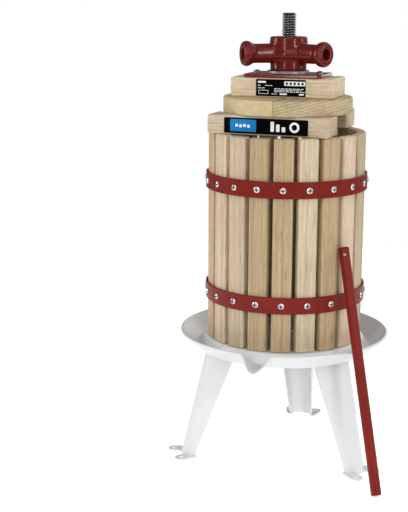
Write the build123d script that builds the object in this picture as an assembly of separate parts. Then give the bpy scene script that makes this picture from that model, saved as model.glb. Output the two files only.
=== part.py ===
from build123d import *
from math import atan2, cos, degrees, hypot, sin, sqrt
import os

# Basket wine press, 6 litre class.  Millimetres, +Z up.
# Origin: on the floor, on the axis of the spindle.  The pouring spout points towards -Y.

# ---------------------------------------------------------------- driving dimensions
# spindle and its fixings
SPINDLE_R = 9.0
SPINDLE_BOTTOM = 128.0
SPINDLE_TOP = 558.5
SPINDLE_CHAMFER = 1.5
RUNNING_GAP = 0.05          # radial gap where the head turns on the spindle
LOOSE_GAP = 1.5             # radial gap where wood or sheet only passes the spindle
FIXING_GAP = 0.5            # radial gap of the tray's hole and washers on the spindle
THREAD_GAP = 0.02           # radial gap between a nut or pilot hole and its thread
SPINDLE_NUT_AF = 27.0
SPINDLE_NUT_H = 14.0
SPINDLE_WASHER_R = 17.0
SPINDLE_WASHER_T = 3.0
NUT_BEVEL_SHARE = 0.9       # of the height that the hexagon's corners stand proud
WASHER_EDGE = 0.5

# juice tray, pressed from sheet
SHEET = 2.0
PLATEAU_TOP = 154.5         # the basket stands on this raised middle
GROOVE_FLOOR = 142.0        # juice groove round the plateau
PLATEAU_R = 101.0
GROOVE_IN_R = 106.5
GROOVE_OUT_R = 110.5
PLATEAU_BEND_R = 5.0
GROOVE_IN_BEND_R = 1.6
GROOVE_OUT_BEND_R = 3.0
RIM_R = 129.5
RIM_Z = 161.0
RIM_BEAD_R = 1.7
RIM_OVERLAP = SHEET * 0.7   # how far the sheet reaches into the rolled rim
SPOUT_FLOOR_HALF_W = 6.5
SPOUT_TOP_HALF_W = 17.0
SPOUT_CORNER_R = 7.0
SPOUT_ROOT = 100.0          # distance from the axis where its outside starts
SPOUT_TURN = -2.0           # degrees the spout stands off -Y
SPOUT_END = 146.0           # distance of the spout's lower lip from the axis
SPOUT_TOP_END = 137.0       # distance where its upper edges end
CLEARING = 30.0             # how far cutting shapes reach past what they cut

# three legs, half-conical sheet gutters
LEG_ANGLES = {"leg_front_right": -30.0, "leg_back": 90.0, "leg_front_left": 210.0}
LEG_TOP_Z = PLATEAU_TOP - SHEET
LEG_OUTER_FOOT_R = 135.0
LEG_OUTER_TOP_R = 98.0
LEG_INNER_FOOT_R = 122.6
LEG_INNER_TOP_R = 64.2
LEG_FOOT_W = 32.5
LEG_TOP_W = 50.5
EAR_R = {-1: 141.0, 1: 139.5}   # how far out the screw-down holes are on each side of a leg
EAR_OFFSET = 17.0           # sideways, each side of the leg's middle
EAR_W = 15.5
EAR_HOLE_R = 3.0
EAR_ROOT_R = 126.1          # where each ear starts, inside the gutter's outline
EAR_ROOT_OFFSET = 13.0

# bolts that hold each leg to the tray
LEG_BOLT_R = 73.0
LEG_BOLT_OFFSET = 12.0
M6_R = 3.0
M6_HOLE_R = 3.2
M6_HEAD_R = 6.0
M6_HEAD_H = 3.4
M6_NUT_AF = 10.0
M6_NUT_H = 5.0
M6_TIP = 1.5                # bolt end below its nut
M6_TIP_BEVEL = 0.6
M6_CROSS = (1.4, 6.4, 1.8)  # width, reach and depth of the cross recess
PAN_EDGE_SHARE = 0.35       # straight edge of a domed head, as a share of its height

# basket
STAVE_COUNT = 20
STAVE_PHASE = 10.4          # degrees from -Y towards +X to the first stave
STAVE_FACE_R = 97.3         # axis to the flat outer face
STAVE_W = 24.0
STAVE_T = 12.0
STAVE_TOP = 415.0
STAVE_ROUND = 2.5
BAND_IN_R = 97.8
BAND_T = 3.0
BAND_H = 20.0
BAND_CENTRES = {"upper_band": 354.6, "lower_band": 214.1}
BAND_SCREW_HEAD_R = 3.75
BAND_SCREW_HEAD_H = 2.3
BAND_SCREW_R = 1.7
BAND_SCREW_LENGTH = 13.0
BAND_SCREW_TIP = 1.2
BAND_SCREW_CROSS = (1.4, 5.4, 1.6)
BAND_SCREW_PILOT_GAP = 0.05
BAND_SCREW_PILOT_SPARE = 0.5
BAND_HOLE_GAP = 0.2
BAND_EDGE_R = 0.8

# pressing stack
BLOCK_L = 153.0
BLOCK_D = 39.0
BLOCK_H = 23.5
BLOCK_ROUND = 2.5
LOWER_BLOCK_YAW = -5.0      # the loose blocks lie a little askew
FRONT_BLOCK_X = -3.3
FRONT_BLOCK_Y = -51.5
REAR_BLOCK_X = -12.5
REAR_BLOCK_Y = 65.0
DISC_R = 80.0
DISC_H = 19.0
DISC_SPLIT_GAP = 0.6
REST_GAP = 0.02             # between loose pieces that lie on each other
DISC_EDGE_R = 1.8
TOP_BLOCK_L = 130.0
TOP_BLOCK_D = 64.0
TOP_BLOCK_H = 24.0
TOP_BLOCK_YAW = -2.0
PLATE_L = 98.0
PLATE_D = 66.0
PLATE_T = 4.0
PLATE_CORNER = 5.0
PLATE_EDGE_R = 1.0
PLATE_BOLT_X = 40.0
PLATE_SCREW_HEAD_R = 4.6
PLATE_SCREW_HEAD_H = 3.8
PLATE_SCREW_DEPTH = 18.0    # length of screw inside the wood
PLATE_SCREW_TIP = 1.5
WASHER_R = 26.0
WASHER_T = 3.5
WASHER_GAP = 0.4

# press head, one casting with three lever sockets
HEAD_TOP = 530.0
HUB_TOP_R = 22.8
HUB_BOTTOM_R = 22.4
ARM_ANGLES = (-28.0, 92.0, 212.0)
ARM_Z = 510.0
ARM_R = 11.7
ARM_REACH = 60.0
ARM_BEAD_R = 15.3
ARM_ROOT_SWELL = 0.4        # extra radius where the arm meets the hub
ARM_BEAD_LENGTH = 16.0      # from where the flare starts to the mouth
ARM_BEAD_CREST = 5.5        # from the bead's widest place to the mouth
ARM_MOUTH_STEP = 0.8        # the mouth's radius is this much less than the arm's
HUB_EDGE_R = 1.2
BELT_MIDDLE_R = 16.0        # swelling round the hub that runs from arm to arm
BELT_REACH = 9.5
BELT_HALF_H = 8.5
BELT_Z = 509.0
SOCKET_R = 7.0
SOCKET_DEPTH = 30.0

# lever bar, standing on the floor and leaning on the basket
LEVER_R = 6.35
LEVER_LENGTH = 297.0
LEVER_EDGE_R = 1.2
LEVER_FOOT = Vector(145.2, -133.2, 2.1)
LEVER_HEAD = Vector(85.0, -58.0, 281.0)
LEVER_HOLE_R = 2.1
LEVER_HOLE_INSET = 9.0
LEVER_HOLE_DIRECTION = Vector(0.216, -0.976, 0.0)

# labels
LABEL_T = 0.4
FRONT_LABEL_L = 105.5
FRONT_LABEL_H = 18.7
FRONT_LABEL_CORNER = 1.5
FRONT_LABEL_X = -1.5
FRONT_LABEL_DROP = 0.4      # below the middle of the block
TOP_LABEL_L = 62.0
TOP_LABEL_H = 20.5
TOP_LABEL_CORNER = 0.6
TOP_LABEL_X = -1.0

# ---------------------------------------------------------------- heights that follow
LOWER_BLOCK_Z = STAVE_TOP
DISC_Z = LOWER_BLOCK_Z + BLOCK_H + REST_GAP
TOP_BLOCK_Z = DISC_Z + DISC_H + REST_GAP
PLATE_Z = TOP_BLOCK_Z + TOP_BLOCK_H
WASHER_Z = PLATE_Z + PLATE_T
HEAD_Z = WASHER_Z + WASHER_T


def ring_places(count, radius, z, phase):
    """Places round the spindle: local +X points outwards, the first at phase from -Y."""
    places = []
    for i in range(count):
        angle = -90.0 + phase + i * 360.0 / count
        places.append(Rot(0, 0, angle) * Pos(radius, 0, z))
    return places


def cylinder_between(radius, low, high):
    return Pos(0, 0, low) * extrude(Circle(radius), high - low)


def hex_nut(across_flats, height, bore_r):
    """Hexagon nut standing on z = 0 with both faces chamfered, bored through."""
    corner_r = across_flats / sqrt(3)
    nut = extrude(RegularPolygon(corner_r, 6), height)
    crown = cylinder_between(corner_r, 0, height)
    crown = chamfer(crown.edges(), (corner_r - across_flats / 2) * NUT_BEVEL_SHARE)
    return (nut & crown) - cylinder_between(bore_r, 0, height)


def washer(outer_r, bore_r, thickness):
    ring = extrude(Circle(outer_r) - Circle(bore_r), thickness)
    return chamfer(ring.edges().filter_by(GeomType.CIRCLE).sort_by(SortBy.RADIUS)[-2:], WASHER_EDGE)


def pan_head(radius, height):
    """Domed screw head standing on z = 0."""
    edge = height * PAN_EDGE_SHARE
    dome_r = (radius**2 + (height - edge) ** 2) / (2 * (height - edge))
    dome = Pos(0, 0, height - dome_r) * Sphere(dome_r)
    return cylinder_between(radius, 0, height) & dome


def cross_recess(width, reach, depth, top):
    bar = Box(reach, width, depth, align=(Align.CENTER, Align.CENTER, Align.MAX))
    return Pos(0, 0, top) * (bar + Rot(0, 0, 90) * bar)


# ---------------------------------------------------------------- tray
def dish_region(drop, top):
    """Half section of everything above the dish's surface, lowered by drop normal to it."""
    slope_in = atan2(PLATEAU_TOP - GROOVE_FLOOR, GROOVE_IN_R - PLATEAU_R)
    slope_out = atan2(RIM_Z - GROOVE_FLOOR, RIM_R - GROOVE_OUT_R)
    shift_in = drop * (1 - cos(slope_in)) / sin(slope_in)
    shift_out = drop * (1 - cos(slope_out)) / sin(slope_out)
    rim_shift = drop * sin(slope_out)
    rim_drop = drop * cos(slope_out)
    surface = FilletPolyline(
        (0, PLATEAU_TOP - drop),
        (PLATEAU_R - shift_in, PLATEAU_TOP - drop),
        (GROOVE_IN_R - shift_in, GROOVE_FLOOR - drop),
        (GROOVE_OUT_R + shift_out, GROOVE_FLOOR - drop),
        (RIM_R + rim_shift, RIM_Z - rim_drop),
        radius=(PLATEAU_BEND_R - drop, GROOVE_IN_BEND_R + drop, GROOVE_OUT_BEND_R + drop),
    )
    closing = Polyline(
        (RIM_R + rim_shift, RIM_Z - rim_drop),
        (RIM_R + rim_shift, top),
        (0, top),
        (0, PLATEAU_TOP - drop),
    )
    return Plane.XZ * make_face(surface.edges() + closing.edges())


def spout_channel(sheet, top, start, end):
    """V-shaped channel with a round bottom along -Y; sheet is how far outside the inner face."""
    lean = (SPOUT_TOP_HALF_W - SPOUT_FLOOR_HALF_W) / (RIM_Z - GROOVE_FLOOR)
    floor_half = SPOUT_FLOOR_HALF_W + sheet * (sqrt(1 + lean**2) - lean)
    floor = GROOVE_FLOOR - sheet
    top_half = floor_half + (top - floor) * lean
    trough = FilletPolyline(
        (-top_half, top),
        (-floor_half, floor),
        (floor_half, floor),
        (top_half, top),
        radius=SPOUT_CORNER_R + sheet,
    )
    section = Plane.XZ * make_face(trough.edges() + [Line((top_half, top), (-top_half, top))])
    return Pos(0, -start, 0) * extrude(section, end - start)


def make_tray():
    wall_top = RIM_Z - RIM_OVERLAP
    outer = revolve(dish_region(SHEET, wall_top), Axis.Z)
    turn = Rot(0, 0, SPOUT_TURN)
    outer += turn * spout_channel(SHEET, wall_top, SPOUT_ROOT, SPOUT_END)
    cavity = revolve(dish_region(0.0, RIM_Z + CLEARING), Axis.Z)
    channel = spout_channel(0.0, RIM_Z + SHEET, GROOVE_OUT_R, SPOUT_END + CLEARING)
    bead_section = Pos(RIM_R + RIM_OVERLAP, RIM_Z - RIM_BEAD_R) * Circle(RIM_BEAD_R)
    bead = revolve(Plane.XZ * bead_section, Axis.Z)
    lip_cut_low = (-SPOUT_END, GROOVE_FLOOR - SHEET)
    lip_cut = make_face(
        Polyline(
            lip_cut_low,
            (-SPOUT_TOP_END, RIM_Z),
            (-SPOUT_END - CLEARING, RIM_Z),
            (-SPOUT_END - CLEARING, GROOVE_FLOOR - SHEET),
            lip_cut_low,
        )
    )
    lip_tool = extrude(Plane.YZ * lip_cut, SPOUT_TOP_HALF_W * 2, both=True)
    tray = (outer - cavity) + bead - turn * channel - turn * lip_tool
    tray -= cylinder_between(SPINDLE_R + FIXING_GAP, GROOVE_FLOOR, PLATEAU_TOP + SHEET)
    for x, y in leg_bolt_points():
        tray -= Pos(x, y, 0) * cylinder_between(M6_HOLE_R, GROOVE_FLOOR, PLATEAU_TOP + SHEET)
    return tray


# ---------------------------------------------------------------- legs
def leg_bolt_points():
    points = []
    for angle in LEG_ANGLES.values():
        for side in (-1, 1):
            place = Rot(0, 0, angle) * Pos(LEG_BOLT_R, side * LEG_BOLT_OFFSET, 0)
            points.append((place.position.X, place.position.Y))
    return points


def gutter_size(z):
    """Outer radius, inner radius and half width of a leg's gutter at height z."""
    share = z / LEG_TOP_Z
    outer = LEG_OUTER_FOOT_R + share * (LEG_OUTER_TOP_R - LEG_OUTER_FOOT_R)
    inner = LEG_INNER_FOOT_R + share * (LEG_INNER_TOP_R - LEG_INNER_FOOT_R)
    half_w = (LEG_FOOT_W + share * (LEG_TOP_W - LEG_FOOT_W)) / 2
    return outer, inner, half_w


def gutter_outside(z):
    """Filled section of a leg at height z, in the leg's own frame (+X outwards)."""
    outer, inner, half_w = gutter_size(z)
    arc = ThreePointArc((inner, -half_w), (outer, 0), (inner, half_w))
    return Pos(0, 0, z) * make_face([arc, Line((inner, half_w), (inner, -half_w))])


def gutter_hollow(z):
    """Section of the gutter's hollow at height z, open towards the spindle."""
    outer, inner, half_w = gutter_size(z)
    depth = outer - inner
    radius = (half_w**2 + depth**2) / (2 * depth)
    reach = inner - (outer - radius)
    half_gap = sqrt((radius - SHEET) ** 2 - reach**2)
    mouth = inner - CLEARING
    edges = [
        ThreePointArc((inner, -half_gap), (outer - SHEET, 0), (inner, half_gap)),
        Line((inner, half_gap), (mouth, half_gap)),
        Line((mouth, half_gap), (mouth, -half_gap)),
        Line((mouth, -half_gap), (inner, -half_gap)),
    ]
    return Pos(0, 0, z) * make_face(edges)


def leg_ear(side):
    """Flat ear on the floor with a screw-down hole."""
    hole_r = EAR_R[side]
    run = hypot(hole_r - EAR_ROOT_R, EAR_OFFSET - EAR_ROOT_OFFSET)
    turn = degrees(atan2(side * (EAR_OFFSET - EAR_ROOT_OFFSET), hole_r - EAR_ROOT_R))
    middle = Pos((hole_r + EAR_ROOT_R) / 2, side * (EAR_OFFSET + EAR_ROOT_OFFSET) / 2)
    ear = middle * Rot(0, 0, turn) * SlotCenterToCenter(run, EAR_W)
    ear -= Pos(hole_r, side * EAR_OFFSET) * Circle(EAR_HOLE_R)
    return extrude(ear, SHEET)


def make_leg(angle):
    leg = loft([gutter_outside(0), gutter_outside(LEG_TOP_Z)], ruled=True)
    for side in (-1, 1):
        leg += leg_ear(side)
    leg -= loft([gutter_hollow(-SHEET), gutter_hollow(LEG_TOP_Z - SHEET)], ruled=True)
    for side in (-1, 1):
        hole = cylinder_between(M6_HOLE_R, LEG_TOP_Z - 2 * SHEET, LEG_TOP_Z + SHEET)
        leg -= Pos(LEG_BOLT_R, side * LEG_BOLT_OFFSET, 0) * hole
    return Rot(0, 0, angle) * leg


def make_leg_bolts():
    shank = cylinder_between(M6_R, LEG_TOP_Z - SHEET - M6_NUT_H - M6_TIP, PLATEAU_TOP)
    shank = chamfer(shank.edges().sort_by(Axis.Z)[:1], M6_TIP_BEVEL)
    head = Pos(0, 0, PLATEAU_TOP) * pan_head(M6_HEAD_R, M6_HEAD_H)
    bolt = shank + head - cross_recess(*M6_CROSS, PLATEAU_TOP + M6_HEAD_H)
    return [Pos(x, y, 0) * bolt for x, y in leg_bolt_points()]


def make_leg_nuts():
    nut = Pos(0, 0, LEG_TOP_Z - SHEET - M6_NUT_H) * hex_nut(M6_NUT_AF, M6_NUT_H, M6_R + THREAD_GAP)
    return [Pos(x, y, 0) * nut for x, y in leg_bolt_points()]


# ---------------------------------------------------------------- spindle
def make_spindle():
    rod = cylinder_between(SPINDLE_R, SPINDLE_BOTTOM, SPINDLE_TOP)
    return chamfer(rod.edges(), SPINDLE_CHAMFER)


def make_spindle_washers():
    ring = washer(SPINDLE_WASHER_R, SPINDLE_R + FIXING_GAP, SPINDLE_WASHER_T)
    return [Pos(0, 0, PLATEAU_TOP) * ring, Pos(0, 0, LEG_TOP_Z - SPINDLE_WASHER_T) * ring]


def make_spindle_nuts():
    nut = hex_nut(SPINDLE_NUT_AF, SPINDLE_NUT_H, SPINDLE_R + THREAD_GAP)
    upper = Pos(0, 0, PLATEAU_TOP + SPINDLE_WASHER_T) * nut
    lower = Pos(0, 0, LEG_TOP_Z - SPINDLE_WASHER_T - SPINDLE_NUT_H) * nut
    return [upper, lower]


# ---------------------------------------------------------------- basket
def make_stave():
    """Stave with its outer face at x = 0 and its length along Z."""
    height = STAVE_TOP - PLATEAU_TOP
    stave = Pos(-STAVE_T / 2, 0, PLATEAU_TOP + height / 2) * Box(STAVE_T, STAVE_W, height)
    stave = fillet(stave.edges(), STAVE_ROUND)
    for z in BAND_CENTRES.values():
        depth = BAND_SCREW_LENGTH - BAND_T + BAND_SCREW_PILOT_SPARE
        pilot = extrude(Circle(BAND_SCREW_R + BAND_SCREW_PILOT_GAP), depth)
        stave -= Pos(0, 0, z) * Rot(0, -90, 0) * pilot
    return stave


def make_band(z):
    band = extrude(Circle(BAND_IN_R + BAND_T) - Circle(BAND_IN_R), BAND_H)
    band = Pos(0, 0, z - BAND_H / 2) * band
    hole = Rot(0, 90, 0) * extrude(Circle(BAND_SCREW_R + BAND_HOLE_GAP), BAND_T * 2, both=True)
    for place in ring_places(STAVE_COUNT, BAND_IN_R + BAND_T / 2, z, STAVE_PHASE):
        band -= place * hole
    return fillet(band.edges().filter_by(GeomType.CIRCLE).filter_by(is_band_edge), BAND_EDGE_R)


def is_band_edge(edge):
    return edge.radius > BAND_IN_R + BAND_T / 2


def make_band_screws(z):
    head = pan_head(BAND_SCREW_HEAD_R, BAND_SCREW_HEAD_H)
    head -= cross_recess(*BAND_SCREW_CROSS, BAND_SCREW_HEAD_H)
    shank = Pos(0, 0, -BAND_SCREW_LENGTH) * extrude(Circle(BAND_SCREW_R), BAND_SCREW_LENGTH)
    shank = chamfer(shank.edges().sort_by(Axis.Z)[:1], BAND_SCREW_TIP)
    screw = Rot(0, 90, 0) * (head + shank)
    places = ring_places(STAVE_COUNT, BAND_IN_R + BAND_T, z, STAVE_PHASE)
    return [place * screw for place in places]


# ---------------------------------------------------------------- pressing stack
def rounded_block(length, depth, height):
    block = Pos(0, 0, height / 2) * Box(length, depth, height)
    return fillet(block.edges(), BLOCK_ROUND)


def make_lower_block(x, y):
    block = rounded_block(BLOCK_L, BLOCK_D, BLOCK_H)
    return Rot(0, 0, LOWER_BLOCK_YAW) * Pos(x, y, LOWER_BLOCK_Z) * block


def make_half_disc(side):
    """One half of the round pressing disc, on the +X side for side = 1."""
    width = DISC_R * 2
    half_plane = Pos(side * (DISC_R + DISC_SPLIT_GAP / 2), 0) * Rectangle(width, width)
    sketch = (Circle(DISC_R) & half_plane) - Circle(SPINDLE_R + LOOSE_GAP)
    half = extrude(sketch, DISC_H)
    rim = half.edges().filter_by(lambda e: e.geom_type == GeomType.CIRCLE and e.radius > DISC_R / 2)
    straight = half.edges().filter_by(lambda e: e.geom_type == GeomType.LINE and e.length > DISC_H + 1)
    half = fillet(rim + straight, DISC_EDGE_R)
    return Pos(0, 0, DISC_Z) * half


def make_top_block():
    block = rounded_block(TOP_BLOCK_L, TOP_BLOCK_D, TOP_BLOCK_H)
    block -= cylinder_between(SPINDLE_R + LOOSE_GAP, 0, TOP_BLOCK_H)
    pilot_end = TOP_BLOCK_H - PLATE_SCREW_DEPTH - PLATE_SCREW_TIP
    for side in (-1, 1):
        pilot = cylinder_between(M6_R + THREAD_GAP, pilot_end, TOP_BLOCK_H)
        block -= Pos(side * PLATE_BOLT_X, 0, 0) * pilot
    return Rot(0, 0, TOP_BLOCK_YAW) * Pos(0, 0, TOP_BLOCK_Z) * block


def make_pressure_plate():
    outline = RectangleRounded(PLATE_L, PLATE_D, PLATE_CORNER)
    plate = extrude(outline - Circle(SPINDLE_R + LOOSE_GAP), PLATE_T)
    for side in (-1, 1):
        plate -= Pos(side * PLATE_BOLT_X, 0, 0) * cylinder_between(M6_HOLE_R, 0, PLATE_T)
    outer_edges = plate.faces().sort_by(Axis.Z)[-1].outer_wire().edges()
    outer_edges += plate.faces().sort_by(Axis.Z)[0].outer_wire().edges()
    plate = fillet(outer_edges, PLATE_EDGE_R)
    return Rot(0, 0, TOP_BLOCK_YAW) * Pos(0, 0, PLATE_Z) * plate


def make_plate_screws():
    shank = cylinder_between(M6_R, -PLATE_SCREW_DEPTH, PLATE_T)
    shank = chamfer(shank.edges().sort_by(Axis.Z)[:1], PLATE_SCREW_TIP)
    head = Pos(0, 0, PLATE_T) * pan_head(PLATE_SCREW_HEAD_R, PLATE_SCREW_HEAD_H)
    screw = shank + head - cross_recess(*M6_CROSS, PLATE_T + PLATE_SCREW_HEAD_H)
    screws = []
    for side in (-1, 1):
        screws.append(Rot(0, 0, TOP_BLOCK_YAW) * Pos(side * PLATE_BOLT_X, 0, PLATE_Z) * screw)
    return screws


def make_thrust_washer():
    return Pos(0, 0, WASHER_Z) * washer(WASHER_R, SPINDLE_R + WASHER_GAP, WASHER_T)


def make_label(length, height, corner, block_x, block_y, yaw, z):
    """Thin plate on the front face of a block; block_y is where that face stands."""
    plate = extrude(RectangleRounded(length, height, corner), LABEL_T)
    return Rot(0, 0, yaw) * Pos(block_x, block_y, z) * Rot(90, 0, 0) * plate


# ---------------------------------------------------------------- head
def arm_solid():
    """One arm along +X from the spindle axis, with a beaded mouth."""
    neck = ARM_REACH - ARM_BEAD_LENGTH
    bead_middle = ARM_REACH - ARM_BEAD_CREST
    outline = [
        Line((0, 0), (0, ARM_R + ARM_ROOT_SWELL)),
        Line((0, ARM_R + ARM_ROOT_SWELL), (neck, ARM_R)),
        Spline(
            (neck, ARM_R),
            (bead_middle, ARM_BEAD_R),
            tangents=((1, 0.02), (1, 0)),
        ),
        Spline(
            (bead_middle, ARM_BEAD_R),
            (ARM_REACH, ARM_R - ARM_MOUTH_STEP),
            tangents=((1, 0), (0, -1)),
        ),
        Line((ARM_REACH, ARM_R - ARM_MOUTH_STEP), (ARM_REACH, 0)),
        Line((ARM_REACH, 0), (0, 0)),
    ]
    return Pos(0, 0, ARM_Z) * revolve(Plane.XZ * make_face(outline), Axis.X)


def make_press_head():
    hub_face = Plane.XZ * make_face(
        Polyline(
            (0, HEAD_Z),
            (HUB_BOTTOM_R, HEAD_Z),
            (HUB_TOP_R, HEAD_TOP),
            (0, HEAD_TOP),
            (0, HEAD_Z),
        )
    )
    head = revolve(hub_face, Axis.Z)
    hub_rims = [edge for edge in head.edges() if edge.geom_type == GeomType.CIRCLE]
    head = fillet(hub_rims, HUB_EDGE_R)
    belt = Pos(BELT_MIDDLE_R, BELT_Z) * Ellipse(BELT_REACH, BELT_HALF_H)
    head += revolve(Plane.XZ * belt, Axis.Z)
    for angle in ARM_ANGLES:
        head += Rot(0, 0, angle) * arm_solid()
    socket = Pos(ARM_REACH - SOCKET_DEPTH, 0, ARM_Z) * Rot(0, 90, 0) * cylinder_between(
        SOCKET_R, 0, SOCKET_DEPTH + CLEARING
    )
    for angle in ARM_ANGLES:
        head -= Rot(0, 0, angle) * socket
    head -= cylinder_between(SPINDLE_R + RUNNING_GAP, HEAD_Z - 1, HEAD_TOP + 1)
    return head


# ---------------------------------------------------------------- lever
def make_lever_bar():
    bar = fillet(cylinder_between(LEVER_R, 0, LEVER_LENGTH).edges(), LEVER_EDGE_R)
    hole = Rot(0, 90, 0) * extrude(Circle(LEVER_HOLE_R), LEVER_R * 2, both=True)
    bar -= Pos(0, 0, LEVER_LENGTH - LEVER_HOLE_INSET) * hole
    along = (LEVER_HEAD - LEVER_FOOT).normalized()
    across = LEVER_HOLE_DIRECTION - along * LEVER_HOLE_DIRECTION.dot(along)
    frame = Plane(origin=LEVER_FOOT, x_dir=across, z_dir=along)
    return frame.location * bar


# ---------------------------------------------------------------- write the nodes
def write(name, shape):
    solids = shape if isinstance(shape, list) else [shape]
    pieces = []
    for item in solids:
        pieces += list(item.solids())
    export_step(pieces[0] if len(pieces) == 1 else Compound(children=pieces), f"parts/{name}.step")


def main():
    os.makedirs("parts", exist_ok=True)
    write("tray", make_tray())
    for name, angle in LEG_ANGLES.items():
        write(name, make_leg(angle))
    write("leg_bolts", make_leg_bolts())
    write("leg_nuts", make_leg_nuts())
    write("spindle", make_spindle())
    write("spindle_washers", make_spindle_washers())
    write("spindle_nuts", make_spindle_nuts())

    stave = make_stave()
    for i, place in enumerate(ring_places(STAVE_COUNT, STAVE_FACE_R, 0, STAVE_PHASE)):
        write(f"stave_{i + 1:02d}", place * stave)
    for name, z in BAND_CENTRES.items():
        write(name, make_band(z))
        write(f"{name}_screws", make_band_screws(z))

    write("front_block", make_lower_block(FRONT_BLOCK_X, FRONT_BLOCK_Y))
    write("rear_block", make_lower_block(REAR_BLOCK_X, REAR_BLOCK_Y))
    write("half_disc_left", make_half_disc(-1))
    write("half_disc_right", make_half_disc(1))
    write("top_block", make_top_block())
    write("pressure_plate", make_pressure_plate())
    write("plate_screws", make_plate_screws())
    write("thrust_washer", make_thrust_washer())
    write("press_head", make_press_head())
    write("lever_bar", make_lever_bar())

    front_face_y = FRONT_BLOCK_Y - BLOCK_D / 2
    front_x = FRONT_BLOCK_X + FRONT_LABEL_X
    label_z = LOWER_BLOCK_Z + BLOCK_H / 2 - FRONT_LABEL_DROP
    size = (FRONT_LABEL_L, FRONT_LABEL_H, FRONT_LABEL_CORNER)
    write("front_label", make_label(*size, front_x, front_face_y, LOWER_BLOCK_YAW, label_z))
    size = (TOP_LABEL_L, TOP_LABEL_H, TOP_LABEL_CORNER)
    label_z = TOP_BLOCK_Z + TOP_BLOCK_H / 2
    write("top_label", make_label(*size, TOP_LABEL_X, -TOP_BLOCK_D / 2, TOP_BLOCK_YAW, label_z))


main()
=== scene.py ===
import math
import random

import bmesh
import bpy
import numpy as np
from mathutils import Matrix, Vector


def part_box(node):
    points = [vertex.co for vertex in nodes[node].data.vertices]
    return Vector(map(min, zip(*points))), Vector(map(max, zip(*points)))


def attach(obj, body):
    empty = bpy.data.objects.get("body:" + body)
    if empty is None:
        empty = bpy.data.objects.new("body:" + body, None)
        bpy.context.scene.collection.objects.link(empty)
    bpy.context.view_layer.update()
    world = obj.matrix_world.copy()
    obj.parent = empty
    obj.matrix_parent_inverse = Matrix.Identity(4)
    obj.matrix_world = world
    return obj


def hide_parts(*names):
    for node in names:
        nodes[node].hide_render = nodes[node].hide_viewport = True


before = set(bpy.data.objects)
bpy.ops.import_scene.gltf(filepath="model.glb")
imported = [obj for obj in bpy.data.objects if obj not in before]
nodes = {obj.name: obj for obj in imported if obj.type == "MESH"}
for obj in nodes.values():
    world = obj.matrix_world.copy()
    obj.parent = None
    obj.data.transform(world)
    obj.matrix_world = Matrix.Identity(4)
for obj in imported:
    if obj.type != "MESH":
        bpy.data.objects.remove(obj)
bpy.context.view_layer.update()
MM = 0.001

# ---------------------------------------------------------------- camera
CAMERA_PLACE = Vector((0.32875, -1.4829, 0.584))
CAMERA_HEADING = math.radians(106.395)      # from +X, seen from above
CAMERA_PITCH = math.radians(-12.28)
CAMERA_ROLL = math.radians(0.23)
CAMERA_LENS = 85.59                         # millimetres, as is the sensor's long side
CAMERA_SENSOR = 36.0
CAMERA_CLIP = (0.05, 60.0)


def make_camera():
    camera = bpy.data.objects.new("camera", bpy.data.cameras.new("camera"))
    bpy.context.scene.collection.objects.link(camera)
    level = math.cos(CAMERA_PITCH)
    look = Vector(
        (math.cos(CAMERA_HEADING) * level, math.sin(CAMERA_HEADING) * level, math.sin(CAMERA_PITCH))
    )
    turn = look.to_track_quat("-Z", "Y").to_matrix().to_4x4()
    roll = Matrix.Rotation(CAMERA_ROLL, 4, "Z")
    camera.matrix_world = Matrix.Translation(CAMERA_PLACE) @ turn @ roll
    camera.data.lens = CAMERA_LENS
    camera.data.sensor_width = CAMERA_SENSOR
    camera.data.clip_start, camera.data.clip_end = CAMERA_CLIP
    bpy.context.scene.camera = camera


# ---------------------------------------------------------------- shader helper
class Shader:
    """One material's nodes, with the calls that the finishes below are written in."""

    def __init__(self, name, **sockets):
        self.material = bpy.data.materials.new(name)
        self.material.use_nodes = True
        self.tree = self.material.node_tree
        self.surface = self.tree.nodes["Principled BSDF"]
        self.place = self.node("ShaderNodeTexCoord").outputs["Object"]
        self.finish(**sockets)

    def put(self, socket, value):
        if isinstance(value, bpy.types.NodeSocket):
            self.tree.links.new(value, socket)
        else:
            socket.default_value = value

    def node(self, kind, inputs=(), **settings):
        made = self.tree.nodes.new(kind)
        for key, value in settings.items():
            setattr(made, key, value)
        for key, value in dict(inputs).items():
            self.put(made.inputs[key], value)
        return made

    def finish(self, **sockets):
        """Sets sockets of the surface by name, with _ for a space."""
        for key, value in sockets.items():
            self.put(self.surface.inputs[key.replace("_", " ")], value)

    def math(self, operation, *values):
        made = self.node("ShaderNodeMath", operation=operation)
        for socket, value in zip(made.inputs, values):
            self.put(socket, value)
        return made.outputs[0]

    def vector(self, operation, *values):
        made = self.node("ShaderNodeVectorMath", operation=operation)
        for socket, value in zip(made.inputs, values):
            self.put(socket, value)
        return made.outputs["Value" if operation == "LENGTH" else "Vector"]

    def noise(self, where, stretch, detail, roughness=0.5):
        """Noise from 0 to 1; stretch is how many cells there are in a metre along each axis."""
        scaled = self.vector("MULTIPLY", where, stretch)
        inputs = {"Vector": scaled, "Scale": 1.0, "Detail": detail, "Roughness": roughness}
        return self.node("ShaderNodeTexNoise", inputs).outputs["Fac"]

    def remap(self, value, low, high, to_low=0.0, to_high=1.0):
        names = ("Value", "From Min", "From Max", "To Min", "To Max")
        inputs = dict(zip(names, (value, low, high, to_low, to_high)))
        return self.node("ShaderNodeMapRange", inputs).outputs[0]

    def mix(self, factor, a, b, blend="MIX"):
        made = self.node("ShaderNodeMix", data_type="RGBA", blend_type=blend)
        self.put(made.inputs[0], factor)
        for socket, value in ((made.inputs[6], a), (made.inputs[7], b)):
            self.put(socket, value if isinstance(value, bpy.types.NodeSocket) else (*value, 1.0))
        return made.outputs[2]

    def bump(self, height, distance, strength=1.0):
        inputs = {"Height": height, "Distance": distance, "Strength": strength}
        return self.node("ShaderNodeBump", inputs).outputs["Normal"]


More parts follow.
